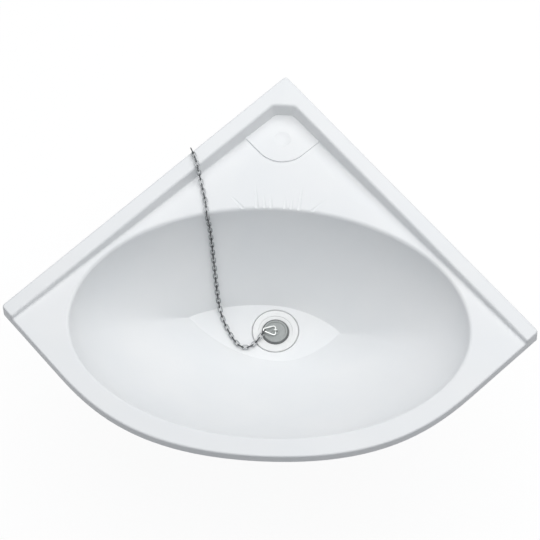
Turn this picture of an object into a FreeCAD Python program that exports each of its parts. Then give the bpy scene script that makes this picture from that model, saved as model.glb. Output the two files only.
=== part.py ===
# Corner basin: a thin moulded bowl and deck that stands in the corner of two walls,
# with its waste, a loose plug and the plug's chain. Millimetres throughout.
# The origin is where the two walls and the surface under the rim meet. +Z is up,
# +X runs to the right along the front, and the basin lies on the -Y side.
import os
import math
import FreeCAD, Part

# ---------------------------------------------------------------- driving dimensions
LEG = 400.0                 # length of each wall side, from the corner
FRONT = 440.0               # from the wall corner to the middle of the front
SIDE_RUN = 100.0            # straight part of the front, beside each wall
SIDE_TURN = 2.0             # degrees by which that part opens past square
FRONT_REACH_SIDE = 62.0     # how far the front curve keeps its line after that part
FRONT_REACH_MID = 118.0     # the same beside the middle
CORNER_ROUND = 3.5
SIDE_ROUND = 4.0

LIP = 12.0                  # height of the turned-down rim: the deck's top is this high
SHELL = 3.4                 # wall of the moulded sheet
EDGE_ROUND = 2.0

UPSTAND_CORNER = 21.7       # the upstand's height over the deck, at the wall corner
UPSTAND_END = 5.4           # and at its two ends
UPSTAND_TOP = 17.0          # width of its top
UPSTAND_DRAFT = 9.5         # degrees that its inner face leans
FACET_TOP = 36.0            # from the wall corner to the facet across the inner corner
FACET_FOOT = 37.5
FACET_ROUND = 6.0
UPSTAND_CREST = 3.0
UPSTAND_FOOT = 2.5

BOWL_DEPTH = 130.0          # from the deck to the floor
BOWL_HALF_WIDTH = 211.2     # of the opening, which is an egg of two half ellipses
BOWL_WIDEST = 290.3         # from the wall corner to its widest line
BOWL_BACK = 150.5           # from the wall corner to its back
BOWL_FRONT = 418.1
FLOOR_LEFT = 98.0           # the floor is an almond with its points at the sides
FLOOR_RIGHT = 73.0
FLOOR_WIDEST = 225.0
FLOOR_LEAN = 5.0            # its left point stands this far back, and its right one forward
FLOOR_BACK = 201.0
FLOOR_FRONT = 273.0
FLOOR_COVE = 6.0            # soft turn from the front wall into the floor, none at the back
COVE_START = 0.88           # share of the depth at which it begins
WALL_SLOPE = 1.5            # powers of the depth by which the bowl draws in: back and front,
SIDE_SLOPE = 1.35           # its two sides,
WIDEST_SLOPE = 1.15         # and its widest line
FLOOR_POINT = 0.75          # how pointed the floor's two ends are
BOWL_LEVELS = (0.0, 0.2, 0.4, 0.6, 0.8, 0.88, 0.94, 0.975, 1.0)
BOWL_RIM_ROUND = 4.0

PAD_SIDE = 75.8             # the tap platform, along each wall
PAD_ROUND = 32.0
PAD_RISE = 1.6
PAD_EDGE = 0.8
TAP_MARK_Y = -66.9          # shallow mark where a tap hole can be drilled
TAP_MARK_R = 10.0
TAP_MARK_BALL = 30.0        # the mark is the print of a ball of this radius
TAP_MARK_DEPTH = 1.4

WASTE_Y = -231.0            # the waste stands under the back half of the bowl
RECESS_R = 25.4
RECESS_DEPTH = 3.6
RECESS_ROUND = 1.4
HOLE_R = 18.0
FLANGE_R = 24.7
THREAD_R = 16.6             # one-inch pipe thread
THREAD_PITCH = 2.309
THREAD_DEPTH = 1.1
TAIL_LENGTH = 50.0          # the waste body, under the bowl's floor
BORE_R = 12.4
DISH_R = 18.8               # the flange's top is dished down to this radius
DISH = 1.2
SEAT_R = 14.8               # taper that the plug seals in, at its top and at its foot
SEAT_FOOT_R = 13.7
SEAT_TOP = 3.2              # depths under the bowl's floor
SEAT_FOOT = 9.0
BAR_WIDTH = 2.2             # the cross bars that keep things out of the drain
BAR_HIGH = 3.0
BAR_TOP = 13.0
HUB_R = 3.4
BACKNUT_FLATS = 46.0
BACKNUT_FACE_R = 24.5
BACKNUT_BEVEL = 1.5
UNION_R = 20.0
UNION_RIBS = 18
UNION_RIB_R = 1.3
SPIGOT_R = 14.0             # for 28 mm push-on pipe
SPIGOT_LENGTH = 30.0
SHOULDER_R = 15.0           # where the pipe stops, just under the union nut
SHOULDER_OUT = 1.0

PLUG_R = 13.0
PLUG_HIGH = 8.6
PLUG_DISH = 0.9             # depth of the ring-shaped hollow in its top
BOSS_R = 4.4
PLUG_RIM = 1.8              # width of the raised rim round that hollow
CORE_R = 11.6               # of the groove that holds the seal
PLUG_SEAL_R = 14.7

EYE_WIRE = 1.5
LINK_WIRE = 1.4             # the triangular link
TRIANGLE_LENGTH = 16.8      # to the corner where its sides would meet
TRIANGLE_HALF = 6.0
TRIANGLE_ROUND = 1.9
TRIANGLE_TURN = 3.5         # degrees, seen from above, towards the front
TRIANGLE_TILT = 11.0        # it leans on the first link, which lies on the plug

CHAIN_WIRE = 1.2
CHAIN_PITCH = 5.5
CHAIN_WIDTH = 5.2
CHAIN_PLAY = 0.3            # between two links
LEAD_LINKS = 14             # links that follow the triangle when it swings
# The chain's line, from the triangle to its free end on the upstand: across the floor,
# up the back of the bowl, over the deck and up the inside of the left upstand.
CHAIN_ROUTE = [
    (-11.3, -232.4, -115.2), (-14.2, -237.6, -115.0), (-18.6, -245.3, -115.2),
    (-24.0, -251.6, -115.3), (-32.0, -254.8, -115.3), (-39.6, -251.0, -115.3),
    (-47.0, -241.2, -115.3), (-53.6, -229.6, -115.2), (-58.4, -219.0, -115.2),
    (-61.6, -209.6, -113.4), (-63.6, -203.4, -101.6), (-66.0, -192.4, -78.6),
    (-68.3, -180.4, -53.0), (-70.6, -169.8, -26.5), (-72.2, -164.4, -4.0),
    (-74.0, -164.2, 9.9), (-75.3, -157.7, 16.4), (-76.4, -148.7, 15.8),
    (-79.0, -139.0, 15.1), (-81.8, -128.6, 15.1), (-84.0, -121.0, 16.6),
    (-86.4, -116.1, 24.7), (-87.2, -112.6, 31.5), (-89.7, -105.6, 32.8),
    (-92.6, -99.0, 31.8), (-96.3, -90.8, 30.9),
]

# ---------------------------------------------------------------- worked out
HALF = math.sqrt(0.5)
DECK = LIP
FLOOR = DECK - BOWL_DEPTH
SIDE = LEG * HALF
FALL = (UPSTAND_CORNER - UPSTAND_END) / LEG
CLEAR = 10.0                # by which a cutting solid passes what it cuts
SKY = DECK + UPSTAND_CORNER + CLEAR

SEAL_TOP = 1.2              # thickness of the seal in the recess
FLANGE = RECESS_DEPTH - SEAL_TOP
UNDER = RECESS_DEPTH + SHELL
SEAL_UNDER = 2.5
SLIP = 1.2
BACKNUT = 9.0
TAIL_SEAL = 2.0
SPIGOT_FLANGE = 2.5
UNION_LIP = 2.5
UNION_GRIP = 9.0


def vec(x, y, z=0.0):
    return FreeCAD.Vector(x, y, z)


def ring_of(points):
    return Part.makePolygon(points + [points[0]])


def prism(points, bottom, top):
    """A solid between two heights, with straight sides through the plan points."""
    face = Part.Face(ring_of([vec(x, y, bottom) for x, y in points]))
    return face.extrude(vec(0, 0, top - bottom))


def frustum(low, high):
    return Part.makeLoft([ring_of(low), ring_of(high)], True, True)


def turned(profile, floor=FLOOR):
    """A ring or disc turned about the waste's axis. Heights count from the bowl's floor."""
    face = Part.Face(ring_of([vec(r, WASTE_Y, floor + z) for r, z in profile]))
    return face.revolve(vec(0, WASTE_Y, 0), vec(0, 0, 1), 360)


def washer(inner, outer, top, thick):
    low = top - thick
    return turned([(inner, top), (outer, top), (outer, low), (inner, low)])


def rounded_loop(corners, radius):
    """A closed flat wire through the corners, each turned by an arc of that radius."""
    edges = []
    count = len(corners)
    starts, ends, mids = [], [], []
    for i, corner in enumerate(corners):
        before = (corners[i - 1] - corner).normalize()
        after = (corners[(i + 1) % count] - corner).normalize()
        half_angle = before.getAngle(after) / 2
        bisector = (before + after).normalize()
        centre = corner + bisector * (radius / math.sin(half_angle))
        starts.append(corner + before * (radius / math.tan(half_angle)))
        ends.append(corner + after * (radius / math.tan(half_angle)))
        mids.append(centre - bisector * radius)
    for i in range(count):
        edges.append(Part.Arc(starts[i], mids[i], ends[i]).toShape())
        edges.append(Part.makeLine(ends[i], starts[(i + 1) % count]))
    return Part.Wire(edges)


def wire_loop(path, thickness):
    """A round wire bent along a closed path that begins with an arc."""
    first = path.Edges[1]
    start = first.valueAt(first.FirstParameter)
    along = first.tangentAt(first.FirstParameter)
    section = Part.Wire(Part.makeCircle(thickness / 2, start, along))
    order = path.Edges[1:] + path.Edges[:1]
    return Part.Wire(order).makePipeShell([section], True, False)


# ---------------------------------------------------------------- basin shell
def outline():
    """The plan at the foot of the rim: two walls, two straight runs and the front curve."""
    turn = math.pi / 4 + math.radians(SIDE_TURN)
    middle = vec(0, -FRONT)

    def side(hand):
        end = vec(hand * SIDE, -SIDE)
        run = vec(-hand * math.cos(turn), -math.sin(turn))
        knee = end + run * SIDE_RUN
        curve = Part.BezierCurve()
        curve.setPoles([
            knee,
            knee + run * FRONT_REACH_SIDE,
            middle + vec(hand * FRONT_REACH_MID, 0),
            middle,
        ])
        wall = Part.makeLine(vec(0, 0), end)
        return [wall, Part.makeLine(end, knee), curve.toShape()]

    edges = side(-1) + side(1)
    return Part.Face(Part.Wire(Part.__sortEdges__(edges)))


def above_legs(drop=0.0):
    """Two solids over the sloping top of the upstand, lowered by drop."""
    solids = []
    for hand in (-1, 1):
        far = hand * (SIDE + 6 * CLEAR)
        out = -FRONT - 6 * CLEAR
        plan = [(0, 6 * CLEAR), (far, 6 * CLEAR), (far, out), (0, out)]
        low = []
        for x, y in plan:
            run = (hand * x - y) * HALF
            low.append(vec(x, y, DECK + UPSTAND_CORNER - FALL * run - drop))
        high = [vec(x, y, SKY + 4 * CLEAR) for x, y in plan]
        solids.append(frustum(low, high))
    return solids


def between_upstands(deeper=0.0):
    """The space over the deck, between the upstand's inner faces. A positive deeper moves
    the faces into the upstand and the floor down, as the underside of the sheet needs."""
    lean = math.tan(math.radians(UPSTAND_DRAFT))
    far = 1.6 * LEG

    def level(height):
        at_corner = UPSTAND_TOP - deeper + (UPSTAND_CORNER - height) * lean
        per_run = FALL * lean
        blend = height / UPSTAND_CORNER
        facet = -(FACET_FOOT + (FACET_TOP - FACET_FOOT) * blend) + deeper

        def point(run, hand):
            offset = at_corner - per_run * run
            return vec(hand * HALF * (run - offset), -HALF * (run + offset), DECK + height)

        start = (-facet / HALF - at_corner) / (1 - per_run)
        left, right = point(start, -1), point(start, 1)
        end_left, end_right = point(far, -1), point(far, 1)
        out = -2 * far
        return [
            left, right, end_right, vec(end_right.x, out, end_right.z),
            vec(end_left.x, out, end_left.z), end_left,
        ]

    return frustum(level(-deeper), level(UPSTAND_CORNER + CLEAR))


def is_level(edge, height):
    box = edge.BoundBox
    return abs(box.ZMin - height) < 0.01 and abs(box.ZMax - height) < 0.01


def on_outline(edge, foot):
    """True for an edge whose ends stand over the outline of the rim."""
    for corner in edge.Vertexes:
        spot = Part.Vertex(corner.Point.x, corner.Point.y, 0)
        if foot.distToShape(spot)[0] > SIDE_ROUND:
            return False
    return True


def rim_block():
    """The rim and upstand as a solid, with every edge rounded as the mould leaves it."""
    plan = outline()
    foot = plan.OuterWire
    block = plan.extrude(vec(0, 0, SKY))

    def upright(edge, x, y):
        centre = edge.CenterOfMass
        near = abs(centre.x - x) < 1 and abs(centre.y - y) < 1
        return near and edge.BoundBox.ZLength > LIP

    corner = [e for e in block.Edges if upright(e, 0, 0)]
    block = block.makeFillet(CORNER_ROUND, corner)
    sides = [e for e in block.Edges if upright(e, SIDE, -SIDE) or upright(e, -SIDE, -SIDE)]
    block = block.makeFillet(SIDE_ROUND, sides)
    block = block.cut(above_legs()).cut(between_upstands()).removeSplitter()

    def facet_side(edge):
        box = edge.BoundBox
        inside = abs(edge.CenterOfMass.y + FACET_FOOT) < UPSTAND_TOP
        return inside and box.ZMin < DECK + 0.1 and box.ZLength > UPSTAND_CORNER / 2

    def crest(edge):
        box = edge.BoundBox
        return box.ZMin > DECK + UPSTAND_END / 2 and box.ZMax > DECK + 0.95 * UPSTAND_END

    block = block.makeFillet(FACET_ROUND, [e for e in block.Edges if facet_side(e)])
    inner_foot = [e for e in block.Edges if is_level(e, DECK) and not on_outline(e, foot)]
    block = block.makeFillet(UPSTAND_FOOT, inner_foot)
    inner = [e for e in block.Edges if crest(e) and not on_outline(e, foot)]
    block = block.makeFillet(UPSTAND_CREST, inner)
    outer = [e for e in block.Edges if on_outline(e, foot) and (crest(e) or is_level(e, DECK))]
    return block.makeFillet(EDGE_ROUND, outer)


def inner_outline():
    """The outline moved in by the sheet's wall. Its curves are redrawn as splines, because
    a file can't hold an offset curve."""
    edges = []
    for edge in outline().makeOffset2D(-SHELL).Edges:
        if edge.Curve.TypeId != "Part::GeomLine":
            curve = Part.BSplineCurve()
            curve.interpolate(edge.discretize(30))
            edge = curve.toShape()
        edges.append(edge)
    return Part.Face(Part.Wire(Part.__sortEdges__(edges)))


def rim_hollow():
    """The space under the sheet: below the deck and up inside the upstand."""
    plan = inner_outline()
    plan.translate(vec(0, 0, -1))
    space = plan.extrude(vec(0, 0, SKY))
    return space.cut(above_legs(SHELL)).cut(between_upstands(SHELL))


def bowl_section(depth, grow=0.0, sink=0.0):
    """One level of the bowl, at a share of its depth: an egg at the deck that becomes an
    almond at the floor. grow widens it all round and sink lowers it. The curve begins at
    the front."""
    steps = 32
    slope = depth ** WALL_SLOPE
    narrowing = depth ** SIDE_SLOPE
    at_floor = depth ** 3
    widest = -BOWL_WIDEST + (BOWL_WIDEST - FLOOR_WIDEST) * depth ** WIDEST_SLOPE
    back = -BOWL_BACK + (BOWL_BACK - FLOOR_BACK) * slope
    front = -BOWL_FRONT + (BOWL_FRONT - FLOOR_FRONT) * slope
    pointed = 1 + FLOOR_POINT * at_floor
    cove = FLOOR_COVE * max(0.0, (depth - COVE_START) / (1 - COVE_START)) ** 2
    points = []
    for i in range(steps):
        angle = 2 * math.pi * i / steps - math.pi / 2
        across = math.sin(angle)
        swell = abs(across)
        reach = back - widest if across > 0 else front - widest
        tip = FLOOR_RIGHT if math.cos(angle) > 0 else FLOOR_LEFT
        half_width = BOWL_HALF_WIDTH + (tip - BOWL_HALF_WIDTH) * narrowing
        wider = grow - cove * (1 - across) / 2
        x = (half_width + wider) * math.cos(angle)
        y = widest + reach * swell ** pointed + wider * across
        y -= FLOOR_LEAN * at_floor * math.cos(angle)
        points.append(vec(x, y, DECK - BOWL_DEPTH * depth - sink))
    curve = Part.BSplineCurve()
    curve.interpolate(Points=points, PeriodicFlag=True)
    return Part.Wire([curve.toShape()])


def bowl(grow=0.0, sink=0.0):
    return Part.makeLoft([bowl_section(d, grow, sink * d) for d in BOWL_LEVELS], True, False)


def tap_platform():
    """A low pad in the wall corner, square to the walls, with a large round at its front."""
    tip = -PAD_SIDE / HALF
    half_side = PAD_SIDE * HALF
    near = PAD_ROUND * HALF
    bottom = tip + near
    nose = tip + PAD_ROUND * (1 / HALF - 1)
    left, right, low = vec(-near, bottom), vec(near, bottom), vec(0, nose)
    edges = [
        Part.makeLine(vec(0, 0), vec(-half_side, -half_side)),
        Part.makeLine(vec(-half_side, -half_side), left),
        Part.Arc(left, low, right).toShape(),
        Part.makeLine(right, vec(half_side, -half_side)),
        Part.makeLine(vec(half_side, -half_side), vec(0, 0)),
    ]
    plan = Part.Face(Part.Wire(edges))
    plan.translate(vec(0, 0, DECK - SHELL / 2))
    pad = plan.extrude(vec(0, 0, PAD_RISE + SHELL / 2))
    front = [e for e in pad.Edges if is_level(e, DECK + PAD_RISE) and e.CenterOfMass.y < -half_side]
    pad = pad.makeFillet(PAD_EDGE, front)
    pad = pad.common(between_upstands(SHELL / 2))
    mark = Part.makeSphere(TAP_MARK_BALL)
    mark.rotate(vec(0, 0, 0), vec(1, 0, 0), 90)
    mark.translate(vec(0, TAP_MARK_Y, DECK + PAD_RISE + TAP_MARK_BALL - TAP_MARK_DEPTH))
    bound = Part.makeCylinder(TAP_MARK_R, 2 * CLEAR, vec(0, TAP_MARK_Y, DECK))
    return pad.cut(mark.common(bound))


def flutes():
    """The fan of shallow drainage grooves that run over the back of the bowl's edge."""
    groove_r = 3.0
    groove_depth = 1.2
    fan = [(8.0, 134.6, 7.0), (15.5, 134.8, 13.5), (25.0, 120.5, 22.0), (50.5, 137.5, 35.0)]
    run_out = BOWL_BACK + 3.0
    tools = []
    for x_back, y_back, x_rim in fan:
        for hand in (-1, 1):
            start = vec(hand * x_back, -y_back, DECK + groove_r - 0.05)
            end = vec(hand * x_rim, -run_out, DECK + groove_r - groove_depth)
            tools.append(Part.makeCylinder(groove_r, (end - start).Length, start, end - start))
    return tools


def basin_shell():
    body = rim_block().cut(rim_hollow())
    body = body.fuse(bowl(SHELL, SHELL))
    seat = Part.makeCylinder(RECESS_R + SHELL, UNDER, vec(0, WASTE_Y, FLOOR - UNDER))
    body = body.fuse(seat)
    body = body.cut(bowl())
    rim = [e for e in body.Edges if is_level(e, DECK) and bowl_edge(e)]
    body = body.makeFillet(BOWL_RIM_ROUND, rim)
    body = body.fuse(tap_platform())
    recess = vec(0, WASTE_Y, FLOOR - RECESS_DEPTH)
    body = body.cut(Part.makeCylinder(RECESS_R, RECESS_DEPTH + CLEAR, recess))
    brim = [e for e in body.Edges if is_level(e, FLOOR) and recess_edge(e)]
    body = body.makeFillet(RECESS_ROUND, brim)
    hole = vec(0, WASTE_Y, FLOOR - UNDER - CLEAR)
    body = body.cut(Part.makeCylinder(HOLE_R, UNDER + 2 * CLEAR, hole))
    body = body.cut(flutes())
    return body.removeSplitter()


def recess_edge(edge):
    """True for the edge where the waste's recess meets the floor."""
    return abs(edge.BoundBox.XLength - 2 * RECESS_R) < 1


def bowl_edge(edge):
    """True for the edge where the bowl meets the deck."""
    box = edge.BoundBox
    return box.XLength > 2 * BOWL_HALF_WIDTH - 5


# ---------------------------------------------------------------- waste
def threaded_band(top, bottom):
    """Ring grooves at the pitch of the thread, to be cut from a plain cylinder."""
    count = int((top - bottom) / THREAD_PITCH)
    root = THREAD_R - THREAD_DEPTH
    mouth = THREAD_R + 1.0
    half = THREAD_PITCH * 0.67      # half the groove's width out at the mouth
    rings = []
    for i in range(count):
        z = top - THREAD_PITCH * (i + 0.5)
        rings.append(turned([(root, z), (mouth, z + half), (mouth, z - half)]))
    return rings


def waste_body():
    """Flange, taper seat for the plug, cross bars and the threaded tail, in one moulding."""
    bevel = 1.0
    collar = HOLE_R - 0.3
    body = turned([
        (FLANGE_R - 0.7, 0.0), (DISH_R, -DISH), (DISH_R - 0.4, -DISH - 0.8),
        (SEAT_R + 0.4, -SEAT_TOP + 0.4), (SEAT_R, -SEAT_TOP), (SEAT_FOOT_R, -SEAT_FOOT),
        (BORE_R, -SEAT_FOOT - bevel), (BORE_R, -TAIL_LENGTH), (THREAD_R - bevel, -TAIL_LENGTH),
        (THREAD_R, -TAIL_LENGTH + bevel), (THREAD_R, -UNDER), (collar, -UNDER + 0.5),
        (collar, -FLANGE), (FLANGE_R, -FLANGE), (FLANGE_R, -0.7),
    ])
    body = body.cut(threaded_band(-UNDER - SEAL_UNDER, -TAIL_LENGTH + 1.5 * bevel))
    low = FLOOR - BAR_TOP - BAR_HIGH
    reach = BORE_R + 0.5
    for turn in (45, 135):
        bar = Part.makeBox(2 * reach, BAR_WIDTH, BAR_HIGH, vec(-reach, -BAR_WIDTH / 2, 0))
        bar.rotate(vec(0, 0, 0), vec(0, 0, 1), turn)
        bar.translate(vec(0, WASTE_Y, low))
        body = body.fuse(bar)
    hub = Part.makeCylinder(HUB_R, BAR_HIGH, vec(0, WASTE_Y, low))
    return body.fuse(hub).removeSplitter()


def hexagon(across, top, thick):
    radius = across / 2 / math.cos(math.pi / 6)
    plan = []
    for i in range(6):
        angle = math.pi / 3 * i
        plan.append((radius * math.cos(angle), WASTE_Y + radius * math.sin(angle)))
    return prism(plan, FLOOR + top - thick, FLOOR + top)


def backnut():
    """Hexagon nut with bevelled corners and a round face that bears on the slip washer."""
    top = -UNDER - SEAL_UNDER - SLIP
    low = top - BACKNUT
    bore = THREAD_R + 0.1
    face = BACKNUT_FACE_R
    wide = face + BACKNUT_BEVEL
    nut = hexagon(BACKNUT_FLATS, top, BACKNUT)
    nut = nut.common(turned([
        (0, top), (face, top), (wide, top - BACKNUT_BEVEL), (wide, low + BACKNUT_BEVEL),
        (face, low), (0, low),
    ]))
    nut = nut.fuse(washer(bore, face, top, 2.0))
    return nut.cut(turned([(0, top + 1), (bore, top + 1), (bore, low - 1), (0, low - 1)]))


def union_nut():
    """Ribbed nut that holds the outlet spigot and its seal against the tail."""
    lip_top = -TAIL_LENGTH - TAIL_SEAL - SPIGOT_FLANGE
    top = -TAIL_LENGTH + UNION_GRIP
    low = lip_top - UNION_LIP
    bore = THREAD_R + 0.1
    bevel = 0.8
    lip_bore = SHOULDER_R + 0.2
    nut = turned([
        (bore, top), (UNION_R - bevel, top), (UNION_R, top - bevel), (UNION_R, low + bevel),
        (UNION_R - bevel, low), (lip_bore, low), (lip_bore, lip_top), (bore, lip_top),
    ])
    short = 1.5 * bevel
    for i in range(UNION_RIBS):
        angle = 2 * math.pi * i / UNION_RIBS
        x, y = UNION_R * math.cos(angle), UNION_R * math.sin(angle)
        foot = vec(x, WASTE_Y + y, FLOOR + low + short)
        nut = nut.fuse(Part.makeCylinder(UNION_RIB_R, top - low - 2 * short, foot))
    return nut.removeSplitter()


def outlet_spigot():
    """Flanged tube that hangs in the union nut, with a shoulder that a pipe stops against."""
    top = -TAIL_LENGTH - TAIL_SEAL
    flange_low = top - SPIGOT_FLANGE
    shoulder = flange_low - UNION_LIP - SHOULDER_OUT
    end = shoulder - SPIGOT_LENGTH
    wall = 2.0
    bevel = 0.8
    inner = SPIGOT_R - wall
    flange = THREAD_R - 0.5
    return turned([
        (inner, top), (flange, top), (flange, flange_low), (SHOULDER_R, flange_low),
        (SHOULDER_R, shoulder), (SPIGOT_R, shoulder), (SPIGOT_R, end + bevel),
        (SPIGOT_R - bevel, end), (inner, end),
    ])


# ---------------------------------------------------------------- plug
PLUG_TOP = -0.4             # the plug's top, seated, from the bowl's floor
GROOVE_TOP = -1.8
GROOVE_LOW = -7.2
BAR_HEIGHT = PLUG_TOP + LINK_WIRE / 2 + 0.2


def plug_body():
    """Disc with a middle boss and a raised rim, and a groove round it for the seal."""
    dish = PLUG_TOP - PLUG_DISH
    rim = PLUG_R - PLUG_RIM
    low = PLUG_TOP - PLUG_HIGH
    body = turned([
        (0, PLUG_TOP), (BOSS_R, PLUG_TOP), (BOSS_R + 0.4, dish), (rim - 0.6, dish),
        (rim, PLUG_TOP), (PLUG_R - 0.4, PLUG_TOP), (PLUG_R, PLUG_TOP - 0.4),
        (PLUG_R, GROOVE_TOP), (CORE_R, GROOVE_TOP), (CORE_R, GROOVE_LOW),
        (PLUG_R - 0.4, GROOVE_LOW), (PLUG_R - 0.8, low), (0, low),
    ])
    return body.cut(plug_eye())


def plug_seal():
    """Rubber ring in the plug's groove, tapered as the seat is."""
    return turned([
        (CORE_R, GROOVE_TOP), (PLUG_SEAL_R - 0.4, GROOVE_TOP), (PLUG_SEAL_R, GROOVE_TOP - 0.6),
        (PLUG_SEAL_R, GROOVE_TOP - 1.6), (PLUG_SEAL_R - 0.7, GROOVE_LOW), (CORE_R, GROOVE_LOW),
    ])


def turn_on_plug(shape):
    """Turns a shape made along X to the way that the triangular link lies."""
    shape.rotate(vec(0, 0, 0), vec(0, 0, 1), TRIANGLE_TURN)
    shape.translate(vec(0, WASTE_Y, FLOOR))
    return shape


def plug_eye():
    """A staple set into the plug's boss."""
    reach = 2.4
    centre = BAR_HEIGHT + 0.4
    set_in = 4.0
    foot = PLUG_TOP - set_in
    left, right = vec(-reach, 0, centre), vec(reach, 0, centre)
    path = Part.Wire([
        Part.makeLine(vec(-reach, 0, foot), left),
        Part.Arc(left, vec(0, 0, centre + reach), right).toShape(),
        Part.makeLine(right, vec(reach, 0, foot)),
    ])
    section = Part.Wire(Part.makeCircle(EYE_WIRE / 2, vec(-reach, 0, foot), vec(0, 0, 1)))
    return turn_on_plug(path.makePipeShell([section], True, False))


def plug_triangle():
    """A wire triangle: its base lies in the staple and its point carries the chain."""
    corners = [
        vec(0, -TRIANGLE_HALF, BAR_HEIGHT),
        vec(0, TRIANGLE_HALF, BAR_HEIGHT),
        vec(-TRIANGLE_LENGTH, 0, BAR_HEIGHT),
    ]
    link = wire_loop(rounded_loop(corners, TRIANGLE_ROUND), LINK_WIRE)
    link.rotate(vec(0, 0, BAR_HEIGHT), vec(0, 1, 0), TRIANGLE_TILT)
    return turn_on_plug(link)


# ---------------------------------------------------------------- chain
def chain_joints():
    """Points a pitch apart along the chain's line: each link spans two of them."""
    poles = [vec(*point) for point in CHAIN_ROUTE]
    inner = len(poles) - 3
    spline = Part.BSplineCurve()
    knots = list(range(inner + 2))
    spline.buildFromPolesMultsKnots(poles, [3] + [1] * inner + [3], knots, False, 2)
    samples = 6000
    joints = [spline.value(0)]
    for i in range(1, samples + 1):
        spot = spline.value(knots[-1] * i / samples)
        if spot.distanceToPoint(joints[-1]) >= CHAIN_PITCH:
            joints.append(spot)
    return joints


def chain_link():
    """One oval link about the origin, long in X and flat in the XY plane."""
    bend = (CHAIN_WIDTH - CHAIN_WIRE) / 2
    run = (CHAIN_PITCH + CHAIN_PLAY + CHAIN_WIRE) / 2 - bend
    path = Part.Wire([
        Part.makeLine(vec(-run, -bend), vec(run, -bend)),
        Part.Arc(vec(run, -bend), vec(run + bend, 0), vec(run, bend)).toShape(),
        Part.makeLine(vec(run, bend), vec(-run, bend)),
        Part.Arc(vec(-run, bend), vec(-run - bend, 0), vec(-run, -bend)).toShape(),
    ])
    section = Part.Wire(Part.makeCircle(CHAIN_WIRE / 2, vec(-run, -bend), vec(1, 0, 0)))
    return path.makePipeShell([section], True, False)


def chain_links(first, last=None):
    """Links laid along the chain's line, each turned a quarter against the one before."""
    away = vec(0, -0.45, 0.9)       # leans off the floor, the bowl's back and the upstand
    joints = chain_joints()
    links = []
    for i in range(len(joints) - 1)[first:last]:
        along = (joints[i + 1] - joints[i]).normalize()
        lift = (away - along * away.dot(along)).normalize()
        across = lift.cross(along)
        if i % 2 == 0:
            across, lift = lift, across * -1
        middle = (joints[i] + joints[i + 1]) / 2
        place = FreeCAD.Matrix(
            along.x, across.x, lift.x, middle.x,
            along.y, across.y, lift.y, middle.y,
            along.z, across.z, lift.z, middle.z,
            0, 0, 0, 1,
        )
        links.append(chain_link().transformGeometry(place))
    return Part.makeCompound(links)


# ---------------------------------------------------------------- build
NODES = {
    "basin_shell": basin_shell,
    "waste_body": waste_body,
    "waste_top_seal": lambda: washer(HOLE_R, FLANGE_R - 0.5, -FLANGE, SEAL_TOP),
    "waste_under_seal": lambda: washer(HOLE_R - 0.7, FLANGE_R, -UNDER, SEAL_UNDER),
    "slip_washer": lambda: washer(HOLE_R - 0.9, FLANGE_R, -UNDER - SEAL_UNDER, SLIP),
    "waste_backnut": backnut,
    "tail_seal": lambda: washer(BORE_R, THREAD_R - 0.5, -TAIL_LENGTH, TAIL_SEAL),
    "union_nut": union_nut,
    "outlet_spigot": outlet_spigot,
    "plug_body": plug_body,
    "plug_seal": plug_seal,
    "plug_eye": plug_eye,
    "plug_triangle": plug_triangle,
    "chain_lead": lambda: chain_links(0, LEAD_LINKS),
    "plug_chain": lambda: chain_links(LEAD_LINKS),
}


def main():
    os.makedirs("parts", exist_ok=True)
    for name, make in NODES.items():
        shape = make()
        shape.exportStep("parts/" + name + ".step")
        print(name, shape.ShapeType, "solids", len(shape.Solids), "valid", shape.isValid(),
              "cm3", round(shape.Volume / 1000, 2))


main()
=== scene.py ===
import bmesh
import bpy
import math
from mathutils import Matrix, Vector


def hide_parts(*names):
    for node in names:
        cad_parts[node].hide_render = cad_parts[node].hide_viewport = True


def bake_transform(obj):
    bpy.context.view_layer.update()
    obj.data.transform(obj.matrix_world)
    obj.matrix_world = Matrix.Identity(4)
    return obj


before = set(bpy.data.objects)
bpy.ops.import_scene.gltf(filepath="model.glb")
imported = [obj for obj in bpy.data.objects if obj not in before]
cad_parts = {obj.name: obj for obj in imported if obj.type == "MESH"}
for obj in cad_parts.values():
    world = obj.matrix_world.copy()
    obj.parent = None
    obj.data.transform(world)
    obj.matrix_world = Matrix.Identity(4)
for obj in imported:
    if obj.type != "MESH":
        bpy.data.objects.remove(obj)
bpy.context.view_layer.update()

# ---------------------------------------------------------------- camera
# A long lens, in front of the basin and well above it, so that the two wall sides stay
# parallel to themselves and the whole floor of the bowl shows.
CAMERA_AZIMUTH = math.radians(6.36133)
CAMERA_ELEVATION = math.radians(63.29155)
CAMERA_ROLL = math.radians(-2.99639)
CAMERA_DISTANCE = 5.00025
CAMERA_AIM = Vector((0.0, -0.240, 0.012))
SENSOR = 36.0
LENS = 316.154
SHIFT = (-2.02421 / 540, 14.21693 / 540)

camera_data = bpy.data.cameras.new("camera")
camera = bpy.data.objects.new("camera", camera_data)
bpy.context.scene.collection.objects.link(camera)
bpy.context.scene.camera = camera
back = Vector((
    math.sin(CAMERA_AZIMUTH) * math.cos(CAMERA_ELEVATION),
    -math.cos(CAMERA_AZIMUTH) * math.cos(CAMERA_ELEVATION),
    math.sin(CAMERA_ELEVATION),
))
level = Vector((math.cos(CAMERA_AZIMUTH), math.sin(CAMERA_AZIMUTH), 0.0))
over = back.cross(level)
right = level * math.cos(CAMERA_ROLL) + over * math.sin(CAMERA_ROLL)
up = over * math.cos(CAMERA_ROLL) - level * math.sin(CAMERA_ROLL)
turn = Matrix((right, up, back)).transposed().to_4x4()
camera.matrix_world = Matrix.Translation(CAMERA_AIM + back * CAMERA_DISTANCE) @ turn
camera_data.sensor_width = SENSOR
camera_data.lens = LENS
camera_data.shift_x = SHIFT[0]
camera_data.shift_y = SHIFT[1]
camera_data.clip_end = 50.0


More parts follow.
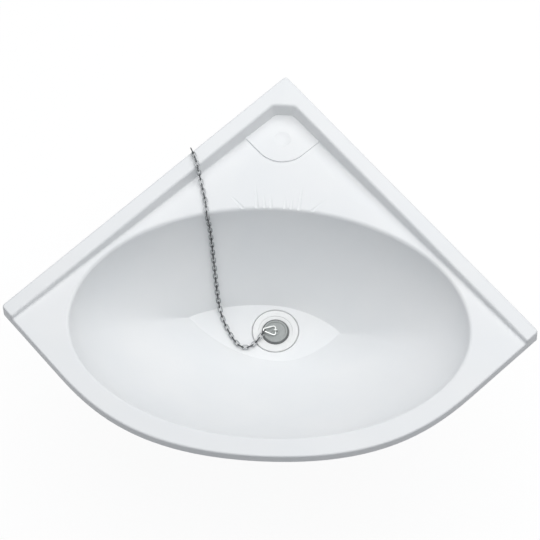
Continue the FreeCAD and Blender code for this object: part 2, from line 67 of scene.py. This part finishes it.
# ---------------------------------------------------------------- plug chain
# A light oval-link chain of nickelled brass wire, about 300 mm long. Each link is bent from
# round wire and turned a quarter against the one before. One end hangs in the plug's
# triangular link; the other is loose and lies on the left upstand.
LINK_PITCH = 0.0055
LINK_WIDTH = 0.0052
LINK_WIRE = 0.0012
LINK_PLAY = 0.0003
LEAD_LINKS = 14             # links from the triangle to the foot of the bowl's back wall
LINE_STEPS = 64             # points of the line between two points of the route
RING_STEPS = 20             # faces round a link
WIRE_STEPS = 10             # faces round its wire
HALVINGS = 24               # steps in which a joint's place on the line is narrowed down
FLAT_SIDE = Vector((0.0, -0.45, 0.9))   # the way that the flat links face
CHAIN_ROUTE = [
    (-0.0113, -0.2324, -0.1152), (-0.0142, -0.2376, -0.1150), (-0.0186, -0.2453, -0.1152),
    (-0.0240, -0.2516, -0.1153), (-0.0320, -0.2548, -0.1153), (-0.0396, -0.2510, -0.1153),
    (-0.0470, -0.2412, -0.1153), (-0.0536, -0.2296, -0.1152), (-0.0584, -0.2190, -0.1152),
    (-0.0616, -0.2096, -0.1134), (-0.0636, -0.2034, -0.1016), (-0.0660, -0.1924, -0.0786),
    (-0.0683, -0.1804, -0.0530), (-0.0706, -0.1698, -0.0265), (-0.0722, -0.1644, -0.0040),
    (-0.0740, -0.1642, 0.0099), (-0.0753, -0.1577, 0.0164), (-0.0764, -0.1487, 0.0158),
    (-0.0790, -0.1390, 0.0151), (-0.0818, -0.1286, 0.0151), (-0.0840, -0.1210, 0.0166),
    (-0.0864, -0.1161, 0.0247), (-0.0872, -0.1126, 0.0315), (-0.0897, -0.1056, 0.0328),
    (-0.0926, -0.0990, 0.0318), (-0.0963, -0.0908, 0.0309),
]


def linear(colour):
    """An sRGB hex colour as Blender's linear red, green, blue and alpha."""
    shares = [int(colour[i:i + 2], 16) / 255 for i in (1, 3, 5)]
    return [s / 12.92 if s < 0.04045 else ((s + 0.055) / 1.055) ** 2.4 for s in shares] + [1.0]


def add_node(tree, kind, links=(), inputs=(), **settings):
    """Adds a node; links are (input, source node, source output), inputs are (input, value)."""
    node = tree.nodes.new(kind)
    for name, value in settings.items():
        setattr(node, name, value)
    for name, value in inputs:
        node.inputs[name].default_value = value
    for name, source, output in links:
        tree.links.new(source.outputs[output], node.inputs[name])
    return node


def new_material(name):
    """A material with only its shader and output, and the node tree to add to."""
    material = bpy.data.materials.new(name)
    material.use_nodes = True
    tree = material.node_tree
    tree.nodes.clear()
    shader = add_node(tree, "ShaderNodeBsdfPrincipled")
    add_node(tree, "ShaderNodeOutputMaterial", [("Surface", shader, "BSDF")])
    return material, tree, shader


def wear(piece, material):
    piece.data.materials.clear()
    piece.data.materials.append(material)


def deselect():
    bpy.ops.object.select_all(action="DESELECT")


def chain_line():
    """Points along the smooth line that the chain follows."""
    curve = bpy.data.curves.new("chain_line", "CURVE")
    curve.dimensions = "3D"
    curve.resolution_u = LINE_STEPS
    spline = curve.splines.new("NURBS")
    spline.points.add(len(CHAIN_ROUTE) - 1)
    for point, place in zip(spline.points, CHAIN_ROUTE):
        point.co = (*place, 1.0)
    spline.order_u = 3
    spline.use_endpoint_u = True
    holder = bpy.data.objects.new("chain_line", curve)
    bpy.context.scene.collection.objects.link(holder)
    bpy.context.view_layer.update()
    mesh = bpy.data.meshes.new_from_object(holder)
    points = [v.co.copy() for v in mesh.vertices]
    bpy.data.objects.remove(holder)
    bpy.data.meshes.remove(mesh)
    return points


def pitch_points(points):
    """Points a link's pitch apart, straight from one to the next."""
    joints = [points[0]]
    for before, after in zip(points, points[1:]):
        while (after - joints[-1]).length >= LINK_PITCH:
            reach = before
            step = after - before
            low, high = 0.0, 1.0
            for _ in range(HALVINGS):
                middle = (low + high) / 2
                if (reach + step * middle - joints[-1]).length < LINK_PITCH:
                    low = middle
                else:
                    high = middle
            joints.append(reach + step * high)
    return joints


def link_mesh():
    """One oval link: a ring spun from round wire and drawn out along X."""
    deselect()
    bend = (LINK_WIDTH - LINK_WIRE) / 2
    run = (LINK_PITCH + LINK_PLAY + LINK_WIRE) / 2 - bend
    bpy.ops.mesh.primitive_torus_add(
        major_radius=bend, minor_radius=LINK_WIRE / 2,
        major_segments=RING_STEPS, minor_segments=WIRE_STEPS,
    )
    ring = bpy.context.object
    bpy.ops.object.mode_set(mode="EDIT")
    for hand in (-1, 1):
        mesh = bmesh.from_edit_mesh(ring.data)
        for vertex in mesh.verts:
            vertex.select_set(vertex.co.x * hand > LINK_WIRE / 100)
        mesh.select_flush_mode()
        bmesh.update_edit_mesh(ring.data)
        bpy.ops.transform.translate(value=(hand * run, 0.0, 0.0))
    bpy.ops.object.mode_set(mode="OBJECT")
    data = ring.data
    bpy.data.objects.remove(ring)
    return data


def lay_chain(name, joints, first):
    """Links between the joints, numbered from first, joined into one piece."""
    pattern = link_mesh()
    mesh = bmesh.new()
    upright_painted_shade = mesh.verts.layers.float.new("upright_painted_shade")
    for i in range(len(joints) - 1):
        along = (joints[i + 1] - joints[i]).normalized()
        lift = (FLAT_SIDE - along * FLAT_SIDE.dot(along)).normalized()
        across = lift.cross(along)
        if (first + i) % 2 == 0:
            across, lift = lift, -across
        place = Matrix((along, across, lift)).transposed().to_4x4()
        place.translation = (joints[i] + joints[i + 1]) / 2
        link = pattern.copy()
        link.transform(place)
        before = len(mesh.verts)
        mesh.from_mesh(link)
        mesh.verts.ensure_lookup_table()
        # Upright links are flagged 1 here, for the painted shade that the wire's material puts on
        # them.
        for vertex in mesh.verts[before:]:
            vertex[upright_painted_shade] = 1.0 - (first + i) % 2
        bpy.data.meshes.remove(link)
    data = bpy.data.meshes.new(name)
    mesh.to_mesh(data)
    mesh.free()
    bpy.data.meshes.remove(pattern)
    for polygon in data.polygons:
        polygon.use_smooth = True
    piece = bpy.data.objects.new(name, data)
    bpy.context.scene.collection.objects.link(piece)
    return piece


line = chain_line()
joints = pitch_points(line)
lead_joints = joints[:LEAD_LINKS + 1]
main_joints = joints[LEAD_LINKS:]
lead = lay_chain("chain_by_plug", lead_joints, 0)
main = lay_chain("chain_to_free_end", main_joints, LEAD_LINKS)

# Nickel plate over drawn brass: grey and half bright, with painted shade that makes every upright
# link darker than the flat ones. Tarnish comes and goes over about 15 mm of chain.
nickel, tree, shader = new_material("nickel_plated_brass_wire")
place = add_node(tree, "ShaderNodeTexCoord")
# Painted shade: the flag of the upright links, which darkens them.
painted_shade = add_node(tree, "ShaderNodeAttribute", attribute_name="upright_painted_shade")
tarnish = add_node(
    tree, "ShaderNodeTexNoise", [("Vector", place, "Object")],
    [("Scale", 1 / 0.015), ("Detail", 4.0)],
)
share = add_node(
    tree, "ShaderNodeMath", [(0, tarnish, "Fac"), (1, painted_shade, "Fac")], operation="MULTIPLY_ADD",
)
tree.links.new(painted_shade.outputs["Fac"], share.inputs[2])
share = add_node(tree, "ShaderNodeMapRange", [("Value", share, "Value")], [("From Max", 1.8)])
plate_tint_and_shade = add_node(tree, "ShaderNodeValToRGB", [("Fac", share, "Result")])
# The dark end of the ramp is painted shade on the upright links, mixed with random tarnish.
plate_tint_and_shade.color_ramp.elements[0].color = linear("#9c9fa1")
plate_tint_and_shade.color_ramp.elements[1].color = linear("#2f3133")
tree.links.new(plate_tint_and_shade.outputs["Color"], shader.inputs["Base Color"])
rough = add_node(
    tree, "ShaderNodeMapRange", [("Value", tarnish, "Fac")], [("To Min", 0.18), ("To Max", 0.42)],
)
tree.links.new(rough.outputs["Result"], shader.inputs["Roughness"])
shader.inputs["Metallic"].default_value = 1.0
for piece in (lead, main):
    wear(piece, nickel)
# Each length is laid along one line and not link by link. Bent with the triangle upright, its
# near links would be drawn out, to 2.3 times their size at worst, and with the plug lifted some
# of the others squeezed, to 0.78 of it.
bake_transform(lead)
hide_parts("chain_lead")
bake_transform(main)
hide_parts("plug_chain")


# ---------------------------------------------------------------- basin
# One sheet of white acrylic-capped ABS, drawn into its mould when hot, so every edge is
# soft and the surface is smooth with a satin sheen. It stands on its turned-down rim.
white, tree, shader = new_material("white_abs_sheet")
place = add_node(tree, "ShaderNodeTexCoord")
# The cap is cool white, a shade warmer in soft clouds a hand's width across.
cloud = add_node(
    tree, "ShaderNodeTexNoise", [("Vector", place, "Object")],
    [("Scale", 1 / 0.090), ("Detail", 3.0)],
)
cap = add_node(tree, "ShaderNodeValToRGB", [("Fac", cloud, "Fac")])
cap.color_ramp.elements[0].position = 0.3
cap.color_ramp.elements[0].color = linear("#ebedee")
cap.color_ramp.elements[1].position = 0.7
cap.color_ramp.elements[1].color = linear("#eff0f0")
tree.links.new(cap.outputs["Color"], shader.inputs["Base Color"])
# Years of wiping leave the gloss uneven, in faint streaks 40 mm wide, drawn out in X.
streaks = add_node(
    tree, "ShaderNodeMapping", [("Vector", place, "Object")], [("Scale", (0.35, 1.0, 1.0))],
)
wiped = add_node(
    tree, "ShaderNodeTexNoise", [("Vector", streaks, "Vector")],
    [("Scale", 1 / 0.040), ("Detail", 2.0)],
)
rough = add_node(
    tree, "ShaderNodeMapRange", [("Value", wiped, "Fac")],
    [("From Min", 0.3), ("From Max", 0.7), ("To Min", 0.42), ("To Max", 0.50)],
)
tree.links.new(rough.outputs["Result"], shader.inputs["Roughness"])
# The drawn sheet ripples very slightly, about 7 mm from crest to crest.
ripple = add_node(
    tree, "ShaderNodeTexNoise", [("Vector", place, "Object")], [("Scale", 1 / 0.007)],
)
skin = add_node(
    tree, "ShaderNodeBump", [("Height", ripple, "Fac")],
    [("Strength", 0.25), ("Distance", 0.00004)],
)
tree.links.new(skin.outputs["Normal"], shader.inputs["Normal"])
shader.inputs["IOR"].default_value = 1.49
wear(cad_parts["basin_shell"], white)


# ---------------------------------------------------------------- waste
# A white polypropylene waste: its flange sits in the bowl's recess on a rubber seal, and a
# backnut pulls it down. A union nut holds the outlet spigot under it.
moulded, tree, shader = new_material("white_polypropylene")
place = add_node(tree, "ShaderNodeTexCoord")
# Slightly warmer than the basin, and a little milky where the melt met, 8 mm apart.
flow = add_node(
    tree, "ShaderNodeTexNoise", [("Vector", place, "Object")],
    [("Scale", 1 / 0.008), ("Detail", 3.0), ("Distortion", 0.8)],
)
resin = add_node(tree, "ShaderNodeValToRGB", [("Fac", flow, "Fac")])
resin.color_ramp.elements[0].color = linear("#f0f1f0")
resin.color_ramp.elements[1].color = linear("#f6f6f5")
tree.links.new(resin.outputs["Color"], shader.inputs["Base Color"])
rough = add_node(
    tree, "ShaderNodeMapRange", [("Value", flow, "Fac")], [("To Min", 0.30), ("To Max", 0.46)],
)
tree.links.new(rough.outputs["Result"], shader.inputs["Roughness"])
# Fine spark texture of the mould, 0.5 mm, drawn as coarse as it needs to show.
spark = add_node(
    tree, "ShaderNodeTexNoise", [("Vector", place, "Object")], [("Scale", 1 / 0.0005)],
)
skin = add_node(
    tree, "ShaderNodeBump", [("Height", spark, "Fac")],
    [("Strength", 0.3), ("Distance", 0.00003)],
)
tree.links.new(skin.outputs["Normal"], shader.inputs["Normal"])
shader.inputs["IOR"].default_value = 1.49
for name in ("waste_body", "slip_washer", "waste_backnut", "union_nut", "outlet_spigot"):
    wear(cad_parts[name], moulded)

# Seals pressed from grey rubber, with a bloom of paler dust over about 5 mm.
seal_rubber, tree, shader = new_material("grey_pressed_rubber")
place = add_node(tree, "ShaderNodeTexCoord")
bloom = add_node(
    tree, "ShaderNodeTexNoise", [("Vector", place, "Object")],
    [("Scale", 1 / 0.005), ("Detail", 6.0)],
)
gum = add_node(tree, "ShaderNodeValToRGB", [("Fac", bloom, "Fac")])
gum.color_ramp.elements[0].color = linear("#8d9191")
gum.color_ramp.elements[1].color = linear("#a9acab")
tree.links.new(gum.outputs["Color"], shader.inputs["Base Color"])
skin = add_node(
    tree, "ShaderNodeBump", [("Height", bloom, "Fac")],
    [("Strength", 0.4), ("Distance", 0.00005)],
)
tree.links.new(skin.outputs["Normal"], shader.inputs["Normal"])
shader.inputs["Roughness"].default_value = 0.7
for name in ("waste_top_seal", "waste_under_seal", "tail_seal"):
    wear(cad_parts[name], seal_rubber)


# ---------------------------------------------------------------- plug
# A grey moulded plug with a raised boss and rim, and a rubber ring that seals in the waste.
# A wire staple in its middle carries the triangular link that the chain hangs from.
grey, tree, shader = new_material("grey_polythene")
place = add_node(tree, "ShaderNodeTexCoord")
# Turning marks of the mould run round the plug's axis, 0.8 mm apart.
PLUG_Y = -0.231
MARK_SPACING = 0.0008
WAVE_FACTOR = 20            # the wave texture multiplies every length by this
centred = add_node(
    tree, "ShaderNodeMapping", [("Vector", place, "Object")], [("Location", (0.0, -PLUG_Y, 0.0))],
)
marks = add_node(
    tree, "ShaderNodeTexWave", [("Vector", centred, "Vector")],
    [("Scale", 2 * math.pi / MARK_SPACING / WAVE_FACTOR), ("Distortion", 0.6), ("Detail", 2.0)],
    wave_type="RINGS", rings_direction="Z",
)
speck = add_node(
    tree, "ShaderNodeTexNoise", [("Vector", place, "Object")],
    [("Scale", 1 / 0.003), ("Detail", 5.0)],
)
body_grey = add_node(tree, "ShaderNodeValToRGB", [("Fac", speck, "Fac")])
body_grey.color_ramp.elements[0].color = linear("#999d9b")
body_grey.color_ramp.elements[1].color = linear("#afb2b1")
tree.links.new(body_grey.outputs["Color"], shader.inputs["Base Color"])
skin = add_node(
    tree, "ShaderNodeBump", [("Height", marks, "Fac")],
    [("Strength", 0.3), ("Distance", 0.00004)],
)
tree.links.new(skin.outputs["Normal"], shader.inputs["Normal"])
shader.inputs["Roughness"].default_value = 0.48
shader.inputs["IOR"].default_value = 1.51
wear(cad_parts["plug_body"], grey)

# The ring in the plug's groove is a darker rubber, dull and lightly scuffed over 2 mm.
ring_rubber, tree, shader = new_material("dark_plug_rubber")
place = add_node(tree, "ShaderNodeTexCoord")
scuff = add_node(
    tree, "ShaderNodeTexNoise", [("Vector", place, "Object")],
    [("Scale", 1 / 0.002), ("Detail", 4.0)],
)
gum = add_node(tree, "ShaderNodeValToRGB", [("Fac", scuff, "Fac")])
gum.color_ramp.elements[0].color = linear("#5d6060")
gum.color_ramp.elements[1].color = linear("#7c7f7f")
tree.links.new(gum.outputs["Color"], shader.inputs["Base Color"])
shader.inputs["Roughness"].default_value = 0.65
wear(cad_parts["plug_seal"], ring_rubber)

# Bright drawn steel: light, with die lines that only break up the gloss.
steel, tree, shader = new_material("bright_drawn_steel_wire")
place = add_node(tree, "ShaderNodeTexCoord")
drawn = add_node(
    tree, "ShaderNodeTexNoise", [("Vector", place, "Object")],
    [("Scale", 1 / 0.0015), ("Detail", 5.0)],
)
rough = add_node(
    tree, "ShaderNodeMapRange", [("Value", drawn, "Fac")], [("To Min", 0.2), ("To Max", 0.45)],
)
tree.links.new(rough.outputs["Result"], shader.inputs["Roughness"])
shader.inputs["Base Color"].default_value = linear("#e8eae8")
shader.inputs["Metallic"].default_value = 1.0
for name in ("plug_eye", "plug_triangle"):
    wear(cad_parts[name], steel)


# ---------------------------------------------------------------- floor and light
# A plain white floor under the outlet, a white surround, and one large soft lamp overhead,
# a little behind the bowl and to its right.
FLOOR_SIZE = 6.0
FLOOR_PLACE = (0.0, -0.2, -0.2085)
FLOOR_GLOW = 1.04
SHOWN_WHITE = 0.9           # share of the floor's white that a shadow doesn't darken
ROOM_GLOW = 0.24
LAMP_SIZE = 2.2
LAMP_POWER = 31.0
LAMP_PLACE = (0.18, 0.12, 1.6)


def finish_mesh(piece):
    """Applies a piece's place, so that its object sits at the origin."""
    deselect()
    piece.select_set(True)
    bpy.context.view_layer.objects.active = piece
    bpy.ops.object.transform_apply(location=True, rotation=True, scale=True)


def seen_share(tree):
    """1 where the camera, a gloss or a clear piece looks at the surroundings, else 0."""
    path = add_node(tree, "ShaderNodeLightPath")
    share = add_node(
        tree, "ShaderNodeMath",
        [(0, path, "Is Camera Ray"), (1, path, "Is Glossy Ray")], operation="MAXIMUM",
    )
    return add_node(
        tree, "ShaderNodeMath",
        [(0, share, "Value"), (1, path, "Is Transmission Ray")], operation="MAXIMUM",
    )


bpy.ops.mesh.primitive_plane_add(size=FLOOR_SIZE, location=FLOOR_PLACE)
floor = bpy.context.object
floor.name = "floor"
finish_mesh(floor)
paper = bpy.data.materials.new("white_paper")
paper.use_nodes = True
tree = paper.node_tree
tree.nodes.clear()
seen = add_node(
    tree, "ShaderNodeEmission", inputs=[("Color", linear("#ffffff")), ("Strength", FLOOR_GLOW)],
)
lit = add_node(tree, "ShaderNodeBsdfDiffuse", inputs=[("Color", linear("#e6e6e6"))])
share = add_node(
    tree, "ShaderNodeMath", [(0, seen_share(tree), "Value")], [(1, SHOWN_WHITE)],
    operation="MULTIPLY",
)
mixed = add_node(
    tree, "ShaderNodeMixShader", [(0, share, "Value"), (1, lit, "BSDF"), (2, seen, "Emission")],
)
add_node(tree, "ShaderNodeOutputMaterial", [("Surface", mixed, "Shader")])
wear(floor, paper)

world = bpy.data.worlds.new("white_room")
bpy.context.scene.world = world
world.use_nodes = True
tree = world.node_tree
tree.nodes.clear()
room = add_node(
    tree, "ShaderNodeBackground", inputs=[("Color", linear("#ebf1fb")), ("Strength", ROOM_GLOW)],
)
seen = add_node(tree, "ShaderNodeBackground", inputs=[("Color", linear("#ffffff"))])
mixed = add_node(
    tree, "ShaderNodeMixShader",
    [(0, seen_share(tree), "Value"), (1, room, "Background"), (2, seen, "Background")],
)
add_node(tree, "ShaderNodeOutputWorld", [("Surface", mixed, "Shader")])

lamp_data = bpy.data.lights.new("window", "AREA")
lamp_data.size = LAMP_SIZE
lamp_data.energy = LAMP_POWER
lamp = bpy.data.objects.new("window", lamp_data)
bpy.context.scene.collection.objects.link(lamp)
lamp.location = LAMP_PLACE
lamp.rotation_euler = (lamp.location - CAMERA_AIM).to_track_quat("Z", "Y").to_euler()

bpy.context.scene.view_settings.view_transform = "Standard"
